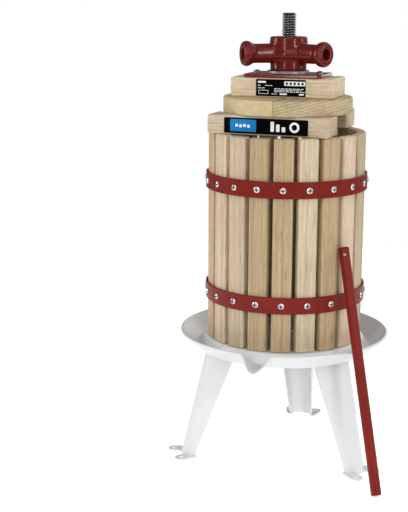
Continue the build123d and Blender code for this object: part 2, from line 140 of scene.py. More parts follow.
# ---------------------------------------------------------------- finishes
# noise cells in a metre, across the grain twice and then along it
BEND_CELLS = (14.0, 14.0, 4.0)
FIBRE_CELLS = (620.0, 620.0, 9.0)
STREAK_CELLS = (130.0, 130.0, 5.0)
FLECK_CELLS = (360.0, 360.0, 46.0)
HUE_CELLS = (75.0, 75.0, 7.0)
CLOUD_CELLS = (16.0, 16.0, 5.0)
PORE_CELLS = (900.0, 900.0, 42.0)
# how much darker each unevenness makes the wood, at its least and at its most
STREAK_TONE = (-0.16, 0.22)
FIBRE_TONE = (-0.12, 0.16)
FLECK_TONE = (-0.14, 0.18)
CLOUD_TONE = (-0.10, 0.18)
EVEN_TONE = 0.18
LATE_STEEPNESS = 2.6        # how late in a year ring the dark wood starts
RING_EDGE = 0.93            # share of a ring at which the dark wood stops again
YEAR_TONE = (0.45, 1.35)    # the palest and the darkest year's share of the ring's tone
PORE_SHADE = 0.34           # a pore's colour as a share of the dark wood's
LATE_WOOD = (0.60, 0.54, 0.46)          # the dark wood's colour as a share of the light
ROSY_SHARE = (1.0, 0.93, 0.90)          # what the rosier patches of wood keep of each channel
PLANED_DEPTH = 0.00035      # height of the fibres, in metres


def year_rings(shader, local, shifted, pith, ring_gap, warp):
    """How far through its year ring a place is, and how dark the late wood makes it there."""
    bend = shader.node(
        "ShaderNodeTexNoise",
        {"Vector": shader.vector("MULTIPLY", shifted, BEND_CELLS), "Scale": 1.0, "Detail": 2.0},
    ).outputs["Color"]
    bend = shader.vector("MULTIPLY", shader.vector("SUBTRACT", bend, (0.5, 0.5, 0.5)), (warp, warp, 0.0))
    spot = shader.vector("ADD", shader.vector("SUBTRACT", local, (*pith, 0.0)), bend)
    radius = shader.vector("LENGTH", shader.vector("MULTIPLY", spot, (1.0, 1.0, 0.0)))
    turns = shader.math("DIVIDE", radius, ring_gap)
    ring = shader.math("FRACT", turns)
    late = shader.math("POWER", ring, LATE_STEEPNESS)
    late = shader.math("MULTIPLY", late, shader.remap(ring, 1.0, RING_EDGE))
    year = shader.math("FLOOR", turns)
    year_tone = shader.node("ShaderNodeTexWhiteNoise", {"W": year}, noise_dimensions="1D").outputs["Value"]
    return ring, shader.math("MULTIPLY", late, shader.remap(year_tone, 0.0, 1.0, *YEAR_TONE))


def wood(name, light, turn, pith, ring_gap, seed, rings, pores, warp=0.004):
    """Planed wood. turn brings the grain onto local Z; pith is the year rings' centre in local X and Y."""
    dark = tuple(channel * share for channel, share in zip(light, LATE_WOOD))
    rng = random.Random(seed)
    shader = Shader(name)
    offset = (0.0, 0.0, rng.uniform(-0.6, 0.6))
    inputs = {"Vector": shader.place, "Rotation": turn, "Location": offset}
    local = shader.node("ShaderNodeMapping", inputs).outputs[0]
    shifted = shader.vector("ADD", local, (rng.uniform(-9, 9), rng.uniform(-9, 9), 0.0))

    ring, late = year_rings(shader, local, shifted, pith, ring_gap, warp)
    fibre = shader.noise(shifted, FIBRE_CELLS, 3.0, 0.6)
    streak = shader.noise(shifted, STREAK_CELLS, 3.0, 0.6)
    fleck = shader.noise(shifted, FLECK_CELLS, 2.0, 0.6)
    hue = shader.noise(shifted, HUE_CELLS, 2.0)
    cloud = shader.noise(shifted, CLOUD_CELLS, 2.0)
    pore = shader.remap(shader.noise(shifted, PORE_CELLS, 1.0), 0.60, 0.72)
    pore = shader.math("MULTIPLY", pore, shader.remap(ring, 0.0, 0.75, 1.0, 0.35))

    tone = shader.math("MULTIPLY", late, rings)
    tone = shader.math("ADD", tone, shader.remap(streak, 0.3, 0.7, *STREAK_TONE))
    tone = shader.math("ADD", tone, shader.remap(fibre, 0.25, 0.75, *FIBRE_TONE))
    tone = shader.math("ADD", tone, shader.remap(fleck, 0.3, 0.7, *FLECK_TONE))
    tone = shader.math("ADD", tone, shader.remap(cloud, 0.3, 0.7, *CLOUD_TONE))
    tone = shader.math("ADD", tone, EVEN_TONE)
    colour = shader.mix(shader.remap(tone, 0.0, 1.0), light, dark)
    colour = shader.mix(shader.remap(hue, 0.42, 0.68, 0.0, 0.5), colour, ROSY_SHARE, "MULTIPLY")
    shadow = tuple(channel * PORE_SHADE for channel in dark)
    colour = shader.mix(shader.math("MULTIPLY", pore, pores), colour, shadow)

    height = shader.math("MULTIPLY", fibre, 0.5)
    height = shader.math("ADD", height, shader.math("MULTIPLY", late, 0.35))
    height = shader.math("SUBTRACT", height, shader.math("MULTIPLY", pore, 0.8))
    shader.finish(
        Base_Color=colour,
        Roughness=shader.remap(fibre, 0.2, 0.8, 0.52, 0.72),
        Normal=shader.bump(height, PLANED_DEPTH),
        Specular_IOR_Level=0.3,
    )
    return shader.material


GRAIN_ALONG_X = (0, -math.pi / 2, 0)
GRAIN_ALONG_Y = (math.pi / 2, 0, 0)
STAVE_TONES = {
    "honey": (0.536, 0.411, 0.247),
    "cream": (0.662, 0.572, 0.404),
    "brown": (0.525, 0.388, 0.233),
    "olive": (0.488, 0.383, 0.226),
    "grey": (0.570, 0.476, 0.333),
    "pale": (0.696, 0.564, 0.411),
    "rosy": (0.603, 0.447, 0.307),
}
# stave_01 to stave_20; seen from the front, 18 to 20 and then 1 to 4 stand from left to right
STAVE_ORDER = (
    "honey", "cream", "brown", "pale", "grey", "honey", "rosy", "olive", "cream", "brown",
    "grey", "pale", "honey", "olive", "rosy", "cream", "rosy", "pale", "grey", "olive",
)
STAVE_RING_GAP = 0.0042
BLOCK_RING_GAP = 0.0046
# node, light wood, place of the pith
BLOCKS = (
    ("front_block", (0.588, 0.485, 0.346), (0.30, 0.00)),
    ("rear_block", (0.615, 0.510, 0.360), (0.32, 0.05)),
    ("top_block", (0.790, 0.675, 0.492), (0.34, 0.10)),
)
# node, material, light wood, place of the pith, gap between year rings, strength of rings and of pores
HALF_DISCS = (
    ("half_disc_right", "disc_wood_right", (0.570, 0.480, 0.300), (0.32, 0.62), 0.0036, 0.85, 0.3),
    ("half_disc_left", "disc_wood_left", (0.650, 0.535, 0.315), (-0.5, 0.56), 0.0022, 0.35, 0.4),
)


def even(cells):
    """The same number of noise cells in a metre along each axis."""
    return (cells, cells, cells)


def powder_coat(name, colour, light):
    """Satin powder coat: a fine even pebble and a very faint unevenness of tone."""
    shader = Shader(name, Specular_IOR_Level=0.45, Coat_Weight=0.15, Coat_Roughness=0.25)
    pebble = shader.noise(shader.place, even(1300.0), 1.0)
    flow = shader.noise(shader.place, even(28.0), 3.0)
    tint = shader.mix(shader.remap(flow, 0.3, 0.7), colour, light)
    height = shader.math("ADD", shader.math("MULTIPLY", pebble, 0.6), shader.math("MULTIPLY", flow, 0.6))
    shader.finish(
        Base_Color=tint,
        Roughness=shader.remap(pebble, 0.3, 0.7, 0.34, 0.46),
        Normal=shader.bump(height, 0.0002, 0.5),
    )
    return shader.material


def enamel(name, colour, dark, grain, grain_depth, roughness, coat):
    """Gloss paint over metal; grain is the size in metres of the casting's or the spray's unevenness."""
    shader = Shader(name, Coat_Weight=coat, Coat_Roughness=0.10, Specular_IOR_Level=0.10)
    lumps = shader.noise(shader.place, even(1.0 / grain), 3.0, 0.55)
    peel = shader.noise(shader.place, even(900.0), 1.0)
    cloud = shader.noise(shader.place, even(22.0), 2.0)
    tint = shader.mix(shader.remap(cloud, 0.3, 0.7), colour, dark)
    tint = shader.mix(shader.remap(lumps, 0.5, 0.8, 0.0, 0.35), tint, dark)
    height = shader.math("ADD", lumps, shader.math("MULTIPLY", peel, 0.12))
    normal = shader.bump(height, grain_depth)
    shader.finish(
        Base_Color=tint,
        Roughness=shader.remap(peel, 0.3, 0.7, roughness, roughness + 0.1),
        Normal=normal,
        Coat_Normal=normal,
    )
    return shader.material


def metal(name, colour, worn, roughness, mark_cells):
    """Plated or plain steel with fine marks and worn patches."""
    shader = Shader(name, Metallic=1.0)
    marks = shader.noise(shader.place, even(mark_cells), 3.0, 0.65)
    patch = shader.noise(shader.place, even(60.0), 3.0, 0.6)
    tint = shader.mix(shader.remap(patch, 0.35, 0.7), colour, worn)
    tint = shader.mix(shader.remap(marks, 0.45, 0.8, 0.0, 0.5), tint, worn)
    shader.finish(
        Base_Color=tint,
        Roughness=shader.remap(marks, 0.25, 0.75, roughness, roughness + 0.18),
        Normal=shader.bump(marks, 0.00006),
    )
    return shader.material


def print_film(name, colour, second, roughness=0.28):
    """Printed film: an even ink with a faint screen grain."""
    shader = Shader(name, Specular_IOR_Level=0.02)
    screen = shader.noise(shader.place, even(2600.0), 1.0)
    ripple = shader.noise(shader.place, even(90.0), 2.0)
    tint = shader.mix(shader.remap(screen, 0.35, 0.65), colour, second)
    shader.finish(
        Base_Color=tint,
        Roughness=shader.remap(ripple, 0.3, 0.7, roughness, roughness + 0.12),
        Normal=shader.bump(ripple, 0.00012, 0.5),
    )
    return shader.material


def paint(names, material):
    """Gives CAD nodes a finish."""
    for name in names:
        mesh = nodes[name].data
        mesh.materials.clear()
        mesh.materials.append(material)


# ---------------------------------------------------------------- mesh helpers
def piece(name, mesh_or_bmesh, body, material, smooth_angle=40.0):
    """Makes an object that rides on a CAD body."""
    if isinstance(mesh_or_bmesh, bmesh.types.BMesh):
        mesh = bpy.data.meshes.new(name)
        mesh_or_bmesh.to_mesh(mesh)
        mesh_or_bmesh.free()
    else:
        mesh = mesh_or_bmesh
    made = bpy.data.objects.new(name, mesh)
    bpy.context.scene.collection.objects.link(made)
    mesh.materials.append(material)
    mesh.shade_smooth()
    mesh.set_sharp_from_angle(angle=math.radians(smooth_angle))
    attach(made, body)
    return made


def wall(bm, ring, other):
    """Adds the faces between two closed rings of as many vertices."""
    for k in range(len(ring)):
        after = (k + 1) % len(ring)
        bm.faces.new((ring[k], ring[after], other[after], other[k]))


# ---------------------------------------------------------------- threaded spindle
THREAD_PITCH = 3.0 * MM
THREAD_ROOT = 7.1 * MM
THREAD_COLUMNS = 40
# share of one pitch, and share of the thread's depth
THREAD_PROFILE = (
    (0.00, 0.0), (0.05, 0.0), (0.42, 0.92), (0.48, 1.0), (0.54, 1.0), (0.60, 0.92), (0.97, 0.0),
)
TURNS_BELOW = 2             # turns that start under the spindle's foot, so that every column is full
TIP_BEVEL = 1.6 * MM
WELD = 0.001 * MM


def thread_crest():
    low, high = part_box("spindle")
    return (high.x - low.x) / 2


def threaded_metal(name, root_shade_colour, crest_highlight_colour, roughness):
    """Steel painted darker in the root of its thread as painted shade, and lighter on its crests as a
    painted highlight.
    """
    shader = Shader(name, Metallic=1.0)
    radius = shader.vector("LENGTH", shader.vector("MULTIPLY", shader.place, (1.0, 1.0, 0.0)))
    marks = shader.noise(shader.place, even(140.0), 3.0, 0.65)
    # worn runs from the root to the crest: painted shade in the root, painted highlight on the crests
    worn = shader.remap(radius, THREAD_ROOT, thread_crest())
    shader.finish(
        Base_Color=shader.mix(worn, root_shade_colour, crest_highlight_colour),
        Roughness=shader.remap(marks, 0.25, 0.75, roughness, roughness + 0.12),
    )
    return shader.material


def spindle_mesh():
    """A right-hand thread as a ring of columns, each one pitch higher after a whole turn."""
    low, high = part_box("spindle")
    crest = thread_crest()
    turns = math.ceil((high.z - low.z) / THREAD_PITCH) + 1
    rows = [(turn, step) for turn in range(-TURNS_BELOW, turns + 1) for step in THREAD_PROFILE]
    lead = len(THREAD_PROFILE)
    bm = bmesh.new()
    columns = []
    for i in range(THREAD_COLUMNS):
        share = i / THREAD_COLUMNS
        angle = 2.0 * math.pi * share
        column = []
        for turn, (rise, depth) in rows:
            wanted = low.z + THREAD_PITCH * (turn + share + rise)
            z = min(max(wanted, low.z), high.z)
            radius = THREAD_ROOT + (crest - THREAD_ROOT) * depth if z == wanted else THREAD_ROOT
            radius = min(radius, crest - TIP_BEVEL + min(z - low.z, high.z - z))
            column.append(bm.verts.new((radius * math.cos(angle), radius * math.sin(angle), z)))
        columns.append(column)
    count = len(rows)
    for i in range(THREAD_COLUMNS):
        last = i == THREAD_COLUMNS - 1
        following = columns[0] if last else columns[i + 1]
        skip = lead if last else 0
        for k in range(count - 1):
            if k + 1 + skip < count:
                near, far = following[k + skip], following[k + 1 + skip]
                bm.faces.new((columns[i][k], near, far, columns[i][k + 1]))
    bmesh.ops.remove_doubles(bm, verts=bm.verts, dist=WELD)
    bmesh.ops.dissolve_degenerate(bm, edges=bm.edges, dist=WELD / 10)
    bmesh.ops.holes_fill(bm, edges=bm.edges)
    bmesh.ops.recalc_face_normals(bm, faces=bm.faces)
    return bm


# ---------------------------------------------------------------- pressed tray
# lengths in this section are in millimetres
TRAY_SHEET = 2.0
# the top face's corners as radius and height over the tray's foot, from the hub's hole outwards:
# the plateau, the groove, and the sloping wall up to the rim
TRAY_CORNERS = ((9.6, 14.5), (101.0, 14.5), (106.5, 2.0), (110.5, 2.0), (129.7, 20.5))
TRAY_BENDS = (5.0, 1.6, 3.0)
BEND_STEPS = 7
WALL_STEPS = 14
RIM_ROLL_R = 1.7
LIP_ROLL_R = 1.1
ROLL_STEPS = 14
ROLL_SWEEP = 260.0          # degrees that the sheet curls round at the rim
LIP_REACH = 14.2            # how far the pouring lip stands out from the rim
LIP_HALF_W = 17.5
LIP_ROUND = 11.0            # radius of the lip's bottom, seen from the front
LIP_FALL = 9.5              # how far out, past that rounding, the rim is whole again
LIP_HEADING = -92.0         # degrees from +X
LIP_EASE = 0.16             # softness of the step from the lip to the whole rim
LIP_FLOOR_POWER = 0.35      # how soon beyond the groove the lip's floor is level
SPOUT_SPAN = 12.0           # degrees on each side of the lip with fine columns
SPOUT_STEP = 0.4            # degrees between columns there
DISH_STEP = 2.5             # degrees between columns elsewhere
QUARTER = 90.0


def bent_line(corners, bends, steps):
    """A polyline with its inner corners rounded."""
    points = [Vector(corners[0])]
    for before, corner, after, bend in zip(corners, corners[1:], corners[2:], bends):
        corner = Vector(corner)
        back, ahead = (Vector(before) - corner).normalized(), (Vector(after) - corner).normalized()
        half = math.acos(max(-1.0, min(1.0, back.dot(ahead)))) / 2
        start, end = corner + back * bend / math.tan(half), corner + ahead * bend / math.tan(half)
        centre = corner + (back + ahead).normalized() * bend / math.sin(half)
        for step in range(steps + 1):
            spoke = (start - centre).lerp(end - centre, step / steps)
            points.append(centre + spoke.normalized() * bend)
    points.append(Vector(corners[-1]))
    return points


def lip_drop(across):
    """1 in the middle of the lip, falling along a V with a round bottom to 0 where the rim is whole."""
    slope = 1.0 - (math.hypot(across, LIP_ROUND) - LIP_ROUND) / LIP_FALL
    whole = (1.0 + math.hypot(1.0, LIP_EASE)) / 2
    return (slope + math.hypot(slope, LIP_EASE)) / 2 / whole


def lip_reach(across):
    """1 in the middle of the lip, falling smoothly to 0 at its sides."""
    share = min(abs(across) / LIP_HALF_W, 1.0)
    return 1.0 - share**2 * (3.0 - 2.0 * share)


def lip_shares(angle):
    """The lip's drop and reach at an angle from its middle, in degrees up to a whole turn."""
    turned = angle if angle < 2 * QUARTER else angle - 4 * QUARTER
    if abs(turned) >= QUARTER:
        return 0.0, 0.0
    across = TRAY_CORNERS[-1][0] * math.sin(math.radians(turned))
    return lip_drop(across), lip_reach(across)


def column_angles():
    """Where the dish's columns stand, in degrees from the lip's middle."""
    half = math.floor(SPOUT_SPAN / SPOUT_STEP)
    angles = [k * SPOUT_STEP for k in range(-half, half + 1)]
    rest = 4 * QUARTER - 2 * half * SPOUT_STEP
    count = round(rest / DISH_STEP)
    return angles + [angles[-1] + rest * k / count for k in range(1, count)]


def dish_top(angles):
    """The top face's points from the hole to the rim, column by column."""
    line = bent_line(TRAY_CORNERS, TRAY_BENDS, BEND_STEPS)
    start, end = line[-2], line[-1]
    line = line[:-1] + [start.lerp(end, k / WALL_STEPS) for k in range(1, WALL_STEPS + 1)]
    groove_edge, groove_height = TRAY_CORNERS[-2]
    rim_r = TRAY_CORNERS[-1][0]
    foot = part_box("tray")[0].z / MM
    top = np.zeros((len(angles), len(line), 3))
    for i, angle in enumerate(angles):
        drop, reach = lip_shares(angle)
        heading = math.radians(angle + LIP_HEADING)
        for j, point in enumerate(line):
            share = min(max((point.x - groove_edge) / (rim_r - groove_edge), 0.0), 1.0)
            radius = point.x + share * reach * LIP_REACH
            height = point.y - max(point.y - groove_height, 0.0) * share**LIP_FLOOR_POWER * drop
            top[i, j] = (radius * math.cos(heading), radius * math.sin(heading), foot + height)
    return top


def rim_roll(edge, along, normal, roll_r):
    """The curl of the sheet round and under from the rim's edge."""
    centre = edge - normal * roll_r
    roll = []
    for k in range(1, ROLL_STEPS + 1):
        turn = math.radians(QUARTER - ROLL_SWEEP * k / ROLL_STEPS)
        roll.append(centre + roll_r * (along * math.cos(turn) + normal * math.sin(turn)))
    return roll


def tray_mesh():
    """The dish as one closed skin: the top face, the rolled rim and the underside, column by column."""
    angles = column_angles()
    top = dish_top(angles)
    around = np.roll(top, -1, axis=0) - np.roll(top, 1, axis=0)
    along = np.gradient(top, axis=1)
    normal = np.cross(along, around)
    normal /= np.linalg.norm(normal, axis=2, keepdims=True)
    normal *= np.sign(normal[:, :1, 2:3])
    along /= np.linalg.norm(along, axis=2, keepdims=True)
    under = top - normal * TRAY_SHEET

    bm = bmesh.new()
    rings = []
    for i, angle in enumerate(angles):
        roll_r = RIM_ROLL_R + (LIP_ROLL_R - RIM_ROLL_R) * lip_shares(angle)[0]
        roll = rim_roll(top[i, -1], along[i, -1], normal[i, -1], roll_r)
        loop = np.vstack([top[i], roll, under[i, ::-1][2:]])
        rings.append([bm.verts.new(point * MM) for point in loop])
    for i, ring in enumerate(rings):
        wall(bm, ring, rings[(i + 1) % len(rings)])
    bmesh.ops.recalc_face_normals(bm, faces=bm.faces)
    return bm


# ---------------------------------------------------------------- cast head
HEAD_VOXEL = 0.7 * MM
SMOOTHING_STEPS = 34
SMOOTHING_SHARE = 0.5
HEAD_ZONE = (7.5 * MM, 35.5 * MM)       # depths below the top between which arms and hub join softly
HEAD_ZONE_R = 36.0 * MM
HEAD_ZONE_FADE = 3.0 * MM
EDGE_SOFTNESS = 0.5                     # share of the smoothing outside that zone
NECK_LEAN = 0.10                        # draft of the hub above the arms
NECK_ROOT = 17.5 * MM                   # depth below the top
NECK_FADE = 5.0 * MM
BORE_R = 9.3 * MM
BORE_ZONE_R = 12.5 * MM


def clamped(value):
    return max(0.0, min(1.0, value))


def evaluated_mesh(thing):
    bpy.context.view_layer.update()
    return bpy.data.meshes.new_from_object(thing.evaluated_get(bpy.context.evaluated_depsgraph_get()))


def lean_neck(mesh, top):
    """Widens the hub towards the arms, as a casting's draft does."""
    for vertex in mesh.vertices:
        radius = math.hypot(vertex.co.x, vertex.co.y)
        if radius > BORE_ZONE_R:
            depth = top - vertex.co.z
            share = min(NECK_ROOT - depth, HEAD_ZONE_R - radius) / NECK_FADE
            grown = 1.0 + clamped(share) * NECK_LEAN * depth / radius
            vertex.co.x *= grown
            vertex.co.y *= grown


def round_bore(mesh):
    """Puts the bore's wall back on its radius, from which the smoothing draws it."""
    for vertex in mesh.vertices:
        radius = math.hypot(vertex.co.x, vertex.co.y)
        if radius < BORE_R + MM:
            vertex.co.x *= BORE_R / radius
            vertex.co.y *= BORE_R / radius


def fillet_weight(spot, top):
    """How strongly a place on the head is smoothed: fully between arms and hub, less elsewhere."""
    radius = math.hypot(spot.x, spot.y)
    depth = top - spot.z
    inside = min(depth - HEAD_ZONE[0], HEAD_ZONE[1] - depth, radius - BORE_ZONE_R, HEAD_ZONE_R - radius)
    return EDGE_SOFTNESS + (1.0 - EDGE_SOFTNESS) * clamped(inside / HEAD_ZONE_FADE)


def head_mesh():
    """The CAD head with its sharp junctions drawn into the soft fillets of a casting."""
    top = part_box("press_head")[1].z
    source = bpy.data.objects.new("head_source", nodes["press_head"].data.copy())
    bpy.context.scene.collection.objects.link(source)
    remesh = source.modifiers.new("voxels", "REMESH")
    remesh.mode = "VOXEL"
    remesh.voxel_size = HEAD_VOXEL
    mesh = evaluated_mesh(source)
    source.modifiers.clear()
    source.data = mesh
    lean_neck(mesh, top)

    group = source.vertex_groups.new(name="soft")
    for vertex in mesh.vertices:
        group.add([vertex.index], fillet_weight(vertex.co, top), "REPLACE")
    smooth = source.modifiers.new("soft", "SMOOTH")
    smooth.factor = SMOOTHING_SHARE
    smooth.iterations = SMOOTHING_STEPS
    smooth.vertex_group = "soft"
    mesh = evaluated_mesh(source)
    bpy.data.objects.remove(source)
    round_bore(mesh)
    mesh.materials.clear()
    return mesh


# ---------------------------------------------------------------- printed labels
PRINT_T = 0.12 * MM
CORNER_STEPS = 5
RING_STEPS = 28
FACES_FRONT = -0.9          # a face looks forward if its normal's Y is below this


def rounded_outline(width, height, corner):
    """Corners of a rounded rectangle round the origin, counter-clockwise."""
    points = []
    for k, (sx, sy) in enumerate(((1, 1), (-1, 1), (-1, -1), (1, -1))):
        for step in range(CORNER_STEPS + 1):
            angle = math.radians(90.0 * (k + step / CORNER_STEPS))
            x = sx * (width / 2 - corner) + corner * math.cos(angle)
            y = sy * (height / 2 - corner) + corner * math.sin(angle)
            points.append((x, y))
    return points


def ring_outline(radius):
    angles = [2 * math.pi * k / RING_STEPS for k in range(RING_STEPS)]
    return [(radius * math.cos(angle), radius * math.sin(angle)) for angle in angles]


def print_shape(bm, outline, centre, hole=None, height=PRINT_T):
    """Adds a thin raised shape, with a hole of as many points if one is given.

    Local X is along the label, Y is up and Z outwards.
    """

    def corners(points, z):
        return [bm.verts.new((centre[0] + x, centre[1] + y, z)) for x, y in points]

    back, front = corners(outline, 0.0), corners(outline, height)
    wall(bm, back, front)
    if hole is None:
        bm.faces.new(front)
        bm.faces.new(back[::-1])
        return
    hole_back, hole_front = corners(hole, 0.0), corners(hole, height)
    wall(bm, front, hole_front)
    wall(bm, hole_front, hole_back)
    wall(bm, hole_back, back)


def label_plane(node):
    """Matrix from a label's own plane, origin at its middle, to the whole object's frame."""
    mesh = nodes[node].data
    fronts = [polygon for polygon in mesh.polygons if polygon.normal.y < FACES_FRONT]
    face = max(fronts, key=lambda polygon: polygon.area)
    outwards = face.normal.copy()
    along = Vector((0, 0, 1)).cross(outwards).normalized()
    if along.x < 0:
        along = -along
    up = outwards.cross(along)
    low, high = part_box(node)
    middle = (low + high) / 2
    middle += outwards * (face.center - middle).dot(outwards)
    turn = Matrix((along, up, outwards)).transposed().to_4x4()
    return Matrix.Translation(middle) @ turn


def add_print(name, node, body, shapes, material, height=PRINT_T):
    """shapes are (outline, centre) or (outline, centre, hole) in millimetres on the label."""
    bm = bmesh.new()
    for outline, centre, *hole in shapes:
        outline = [(x * MM, y * MM) for x, y in outline]
        inner = [(x * MM, y * MM) for x, y in hole[0]] if hole else None
        print_shape(bm, outline, (centre[0] * MM, centre[1] * MM), inner, height)
    bm.transform(label_plane(node))
    piece(name, bm, body, material, smooth_angle=30.0)


# ---------------------------------------------------------------- painted shade in the screws' cross recess
RECESS_REACH = 2.65 * MM         # half of the cross, from its middle to an arm's end
RECESS_HALF_W = 0.66 * MM
RECESS_FLOOR = 1.55 * MM         # below the top of the head
RECESS_FILL = 0.72 * MM          # face of the cross of painted shade, below the top of the head


def cross_outline():
    """Corners of a cross round the origin, counter-clockwise, arm by arm."""
    near, far = RECESS_HALF_W, RECESS_REACH
    outline = []
    for along, across in ((1, 0), (0, 1), (-1, 0), (0, -1)):
        for ahead, aside in ((far, -near), (far, near), (near, near)):
            outline.append((along * ahead - across * aside, across * ahead + along * aside))
    return outline


def screw_middle(spots, heading, spread):
    """The middle of the screw that stands within spread of a heading, out of every screw's corners."""
    aim = Vector((math.cos(heading), math.sin(heading), 0.0))
    near = [spot for spot in spots if aim.dot(spot) > math.hypot(spot.x, spot.y) * math.cos(spread)]
    return sum(near, Vector()) / len(near)


def painted_recess_shade_mesh(screws):
    """A cross of painted shade low in each screw's recess, where no light gets in."""
    spots = [vertex.co for vertex in nodes[screws].data.vertices]
    reach = max(math.hypot(spot.x, spot.y) for spot in spots)
    step = 2.0 * math.pi / len(STAVE_ORDER)
    low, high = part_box("stave_01")
    first = math.atan2((low + high).y, (low + high).x)
    bm = bmesh.new()
    for k in range(len(STAVE_ORDER)):
        middle = screw_middle(spots, first + k * step, step / 2)
        outwards = Vector((middle.x, middle.y, 0.0)).normalized()
        along = Vector((0.0, 0.0, 1.0)).cross(outwards)
        rings = []
        for depth in (RECESS_FLOOR, RECESS_FILL):
            centre = outwards * (reach - depth)
            centre.z = middle.z
            corners = [centre + along * x + Vector((0.0, 0.0, y)) for x, y in cross_outline()]
            rings.append([bm.verts.new(corner) for corner in corners])
        back, front = rings
        wall(bm, back, front)
        bm.faces.new(front)
        bm.faces.new(back[::-1])
    bmesh.ops.recalc_face_normals(bm, faces=bm.faces)
    return bm


# ---------------------------------------------------------------- stage
WORLD_GLOW = 0.18           # what lights the object
WORLD_SEEN = 1.0            # what the camera sees beyond the floor
SKY_PLACE = (0.35, -1.35, 1.5)
SKY_STRENGTH = 1.2
BACK_SKY_PLACE = (1.0, 1.0, 1.0)
BACK_SKY_STRENGTH = 0.6
SKY_ANGLE = 60.0            # degrees of sky that each wide light covers
FLOOR_R = 1.3
FLOOR_CORNERS = 96
FLOOR_WHITES = ((0.94, 0.94, 0.94), (0.955, 0.955, 0.955))
FLOOR_GLOW = 0.50           # lit from below, as a light table
BOX_DISTANCE = 1.9
BOX_LENGTH = 1.0            # tall boxes that hang just off the floor, so upright walls mirror them
BOX_FOOT = 0.32
# name, azimuth from -Y towards +X, width in metres, watts
BOXES = (
    ("box_left", -77.0, 0.42, 14.0),
    ("box_front", -13.0, 0.20, 7.0),
    ("box_right", 48.0, 0.26, 9.0),
    ("box_side", 100.0, 0.50, 6.0),
    ("box_back", 170.0, 0.60, 4.5),
)


def make_floor():
    shader = Shader("studio_floor", Specular_IOR_Level=0.15)
    cloud = shader.noise(shader.place, even(3.0), 2.0)
    shader.finish(
        Base_Color=shader.mix(cloud, *FLOOR_WHITES),
        Roughness=0.6,
        Emission_Color=(1.0, 1.0, 1.0, 1.0),
        Emission_Strength=FLOOR_GLOW,
    )
    bm = bmesh.new()
    bmesh.ops.create_circle(bm, cap_ends=True, segments=FLOOR_CORNERS, radius=FLOOR_R)
    mesh = bpy.data.meshes.new("floor")
    bm.to_mesh(mesh)
    bm.free()
    floor = bpy.data.objects.new("floor", mesh)
    bpy.context.scene.collection.objects.link(floor)
    mesh.materials.append(shader.material)


def make_world():
    """White light from all round, which the camera sees brighter than it lights the object."""
    world = bpy.data.worlds.new("studio")
    world.use_nodes = True
    tree = world.node_tree
    background = tree.nodes["Background"]
    background.inputs["Color"].default_value = (1.0, 1.0, 1.0, 1.0)
    seen = tree.nodes.new("ShaderNodeLightPath").outputs["Is Camera Ray"]
    strength = tree.nodes.new("ShaderNodeMapRange")
    strength.inputs["To Min"].default_value = WORLD_GLOW
    strength.inputs["To Max"].default_value = WORLD_SEEN
    tree.links.new(seen, strength.inputs["Value"])
    tree.links.new(strength.outputs[0], background.inputs["Strength"])
    bpy.context.scene.world = world


def aimed(name, light, place, target):
    """Puts a light at a place, turned towards the target and out of the camera's sight."""
    made = bpy.data.objects.new(name, light)
    bpy.context.scene.collection.objects.link(made)
    look = Vector(target) - Vector(place)
    made.matrix_world = Matrix.Translation(place) @ look.to_track_quat("-Z", "Y").to_matrix().to_4x4()
    made.visible_camera = False


def softbox(name, place, target, width, height, watts):
    light = bpy.data.lights.new(name, "AREA")
    light.shape = "RECTANGLE"
    light.size = width
    light.size_y = height
    light.energy = watts
    aimed(name, light, place, target)


def wide_light(name, place, strength):
    """Soft light from far away, so that the floor is as bright behind the object as in front."""
    light = bpy.data.lights.new(name, "SUN")
    light.energy = strength
    light.angle = math.radians(SKY_ANGLE)
    aimed(name, light, place, (0.0, 0.0, 0.0))


def make_lights():
    wide_light("sky", SKY_PLACE, SKY_STRENGTH)
    wide_light("back_sky", BACK_SKY_PLACE, BACK_SKY_STRENGTH)
    middle = BOX_FOOT + BOX_LENGTH / 2
    for name, azimuth, width, watts in BOXES:
        heading = math.radians(azimuth)
        place = (BOX_DISTANCE * math.sin(heading), -BOX_DISTANCE * math.cos(heading), middle)
        softbox(name, place, (0.0, 0.0, middle), width, BOX_LENGTH, watts)


# ---------------------------------------------------------------- finishes on the pieces
def finish_wood():
    for index, tone in enumerate(STAVE_ORDER):
        stave = f"stave_{index + 1:02d}"
        low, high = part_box(stave)
        middle = (low + high) / 2
        turn = (0, 0, -math.atan2(middle.y, middle.x))
        rng = random.Random(100 + index)
        pith = (rng.uniform(-0.02, 0.05), rng.choice((-1, 1)) * rng.uniform(0.02, 0.09))
        seed = 300 + index
        look = dict(rings=0.42, pores=0.5, warp=0.006)
        finish = wood(f"{stave}_wood", STAVE_TONES[tone], turn, pith, STAVE_RING_GAP, seed, **look)
        paint([stave], finish)
    for index, (block, light, pith) in enumerate(BLOCKS):
        seed = 500 + index
        look = dict(rings=0.34, pores=0.25)
        paint([block], wood(f"{block}_wood", light, GRAIN_ALONG_X, pith, BLOCK_RING_GAP, seed, **look))
    for index, (disc, name, light, pith, ring_gap, rings, pores) in enumerate(HALF_DISCS):
        paint([disc], wood(name, light, GRAIN_ALONG_Y, pith, ring_gap, 601 + index, rings, pores))


# the two colours that each finish varies between
WHITE_COATS = ((0.635, 0.645, 0.65), (0.665, 0.67, 0.67))
CAST_REDS = ((0.138, 0.007, 0.004), (0.106, 0.005, 0.003))
PLATE_REDS = ((0.180, 0.012, 0.008), (0.145, 0.009, 0.006))
SHEET_REDS = ((0.192, 0.014, 0.009), (0.156, 0.010, 0.007))
ZINC_GREYS = ((0.60, 0.61, 0.60), (0.74, 0.74, 0.72))
STEEL_GREYS = ((0.30, 0.30, 0.295), (0.42, 0.42, 0.41))
# painted shade in the thread's root and painted highlight on its crests
THREAD_SHADE_AND_HIGHLIGHT = ((0.05, 0.052, 0.052), (0.38, 0.385, 0.38))
# painted shade for the screws' cross recess
RECESS_PAINTED_SHADE = ((0.006, 0.006, 0.006), (0.012, 0.012, 0.011))


